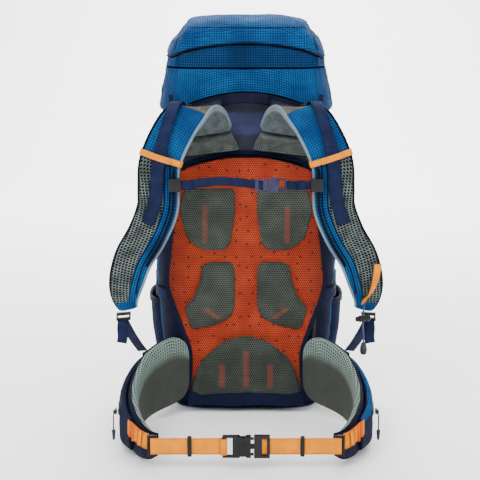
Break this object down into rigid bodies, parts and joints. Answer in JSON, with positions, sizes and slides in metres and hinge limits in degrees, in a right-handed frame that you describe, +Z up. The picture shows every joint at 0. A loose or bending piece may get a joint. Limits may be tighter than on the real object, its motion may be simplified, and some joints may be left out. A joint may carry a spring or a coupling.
{
  "type": "hiking backpack",
  "caption": "Framed trekking backpack with a hinged lid, padded shoulder harness with sternum strap, and a padded hip belt that opens at its buckle.",
  "frame": {"origin": "centre of the flat underside of the base, midway between the sides and between the bag's rear and front faces", "axes": "+X to the wearer's right, -Y towards the wearer's back, +Z up along the pack"},
  "size_m": [0.4782, 0.5902, 0.7235],
  "materials": {
    "blue_ripstop": "woven ripstop with a sheen",
    "navy_fabric": "plain tight weave, matt",
    "navy_webbing": "ribbed woven webbing",
    "orange_webbing": "ribbed woven webbing",
    "orange_mesh": "open knitted mesh",
    "grey_foam": "grey spacer mesh over foam",
    "black_plastic": "moulded acetal, slight sheen",
    "violet_plastic": "moulded acetal",
    "black_rubber": "soft matt rubber",
    "frame_plastic": "extruded polyethylene sheet",
    "stay_alloy": "brushed bare alloy",
    "zip_metal": "dark painted die casting",
    "cord_weave": "braided cord"
  },
  "bodies": {
    "pack": {"main_bag": "blue_ripstop", "snow_collar": "blue_ripstop", "base_panel": "navy_fabric", "frame_sheet": "frame_plastic", "frame_stays": "stay_alloy", "back_mesh": "orange_mesh", "upper_back_pads": "grey_foam", "lower_back_pads": "grey_foam", "lumbar_pad": "grey_foam", "yoke_panel": "navy_fabric", "haul_loop": "navy_webbing", "strap_roots": "grey_foam", "webbing_ladder_locks": "black_plastic", "side_pockets": "navy_fabric", "front_pocket": "navy_fabric", "zip_tracks": "black_plastic", "bag_webbing": "navy_webbing", "strap_tabs": "navy_webbing", "lid_buckle_bases": "black_plastic", "lid_flap": "blue_ripstop", "strap_webbing": "navy_webbing"},
    "front_slider": {"front_zip_slider": "zip_metal"},
    "lid": {"lid_pocket": "blue_ripstop", "lid_skirt": "blue_ripstop", "lid_zip": "black_plastic", "lid_straps": "navy_webbing", "lid_buckle_caps": "black_plastic"},
    "lid_slider": {"lid_zip_slider": "zip_metal"},
    "harness": {"shoulder_strap_left": "blue_ripstop", "shoulder_strap_right": "blue_ripstop", "strap_rails": "blue_ripstop", "orange_loops": "orange_webbing", "lifter_webbing": "navy_webbing", "strap_ladder_locks": "black_plastic", "pole_cord": "cord_weave", "pole_cord_end": "black_rubber"},
    "pole_lock": {"pole_cord_lock": "black_plastic"},
    "sternum": {"sternum_clips": "black_plastic", "sternum_webbing": "navy_webbing", "sternum_buckle_female": "violet_plastic", "sternum_buckle_male": "violet_plastic"},
    "belt_left": {"hip_fin_left": "navy_fabric", "hip_pocket_left": "navy_fabric", "hip_webbing_left": "orange_webbing", "hip_adjuster_left": "black_plastic", "hip_buckle_female": "black_plastic"},
    "belt_right": {"hip_fin_right": "navy_fabric", "hip_pocket_right": "navy_fabric", "hip_webbing_right": "orange_webbing", "hip_adjuster_right": "black_plastic", "hip_buckle_male": "black_plastic"},
    "latch_upper": {"hip_latch_upper": "black_plastic"},
    "latch_lower": {"hip_latch_lower": "black_plastic"},
    "hip_slider_left": {"hip_zip_slider_left": "zip_metal", "hip_pull_cord_left": "cord_weave", "hip_pull_tip_left": "black_rubber"},
    "hip_slider_right": {"hip_zip_slider_right": "zip_metal", "hip_pull_cord_right": "cord_weave", "hip_pull_tip_right": "black_rubber"}
  },
  "joints": [
    {"name": "lid_hinge", "type": "hinge", "parent": "pack", "child": "lid", "pos_m": [0, -0.1287, 0.632], "axis": [1, 0, 0], "range_deg": [0, 110]},
    {"name": "lid_zip", "type": "slide", "parent": "lid", "child": "lid_slider", "axis": [-1, 0, 0], "range_m": [0, 0.174]},
    {"name": "front_zip", "type": "slide", "parent": "pack", "child": "front_slider", "axis": [1, 0, 0], "range_m": [0, 0.114]},
    {"name": "harness_swing", "type": "hinge", "parent": "pack", "child": "harness", "pos_m": [0, -0.1407, 0.556], "axis": [1, 0, 0], "range_deg": [-20, 0]},
    {"name": "pole_lock_slide", "type": "slide", "parent": "harness", "child": "pole_lock", "axis": [0, 0, 1], "range_m": [-0.006, 0.004]},
    {"name": "sternum_slide", "type": "slide", "parent": "harness", "child": "sternum", "axis": [0, 0, 1], "range_m": [-0.012, 0.012]},
    {"name": "belt_right_swing", "type": "hinge", "parent": "pack", "child": "belt_right", "pos_m": [0.108, -0.1471, 0], "axis": [0, 0, 1], "range_deg": [0, 35]},
    {"name": "belt_left_swing", "type": "hinge", "parent": "pack", "child": "belt_left", "pos_m": [-0.108, -0.1471, 0], "axis": [0, 0, 1], "range_deg": [-35, 0]},
    {"name": "latch_upper_flex", "type": "hinge", "parent": "belt_right", "child": "latch_upper", "pos_m": [0.012, -0.4341, 0.0534], "axis": [0, 1, 0], "range_deg": [-8, 0], "stiffness_Nm_per_rad": 0.2},
    {"name": "latch_lower_flex", "type": "hinge", "parent": "belt_right", "child": "latch_lower", "pos_m": [0.012, -0.4341, 0.0266], "axis": [0, 1, 0], "range_deg": [0, 8], "stiffness_Nm_per_rad": 0.2},
    {"name": "hip_zip_left", "type": "slide", "parent": "belt_left", "child": "hip_slider_left", "axis": [0, 1, 0], "range_m": [0, 0.068]},
    {"name": "hip_zip_right", "type": "slide", "parent": "belt_right", "child": "hip_slider_right", "axis": [0, 1, 0], "range_m": [0, 0.068]}
  ],
  "couplings": [
    {"joint": "belt_left_swing", "follows": "belt_right_swing", "ratio": -1},
    {"joint": "latch_lower_flex", "follows": "latch_upper_flex", "ratio": -1}
  ]
}
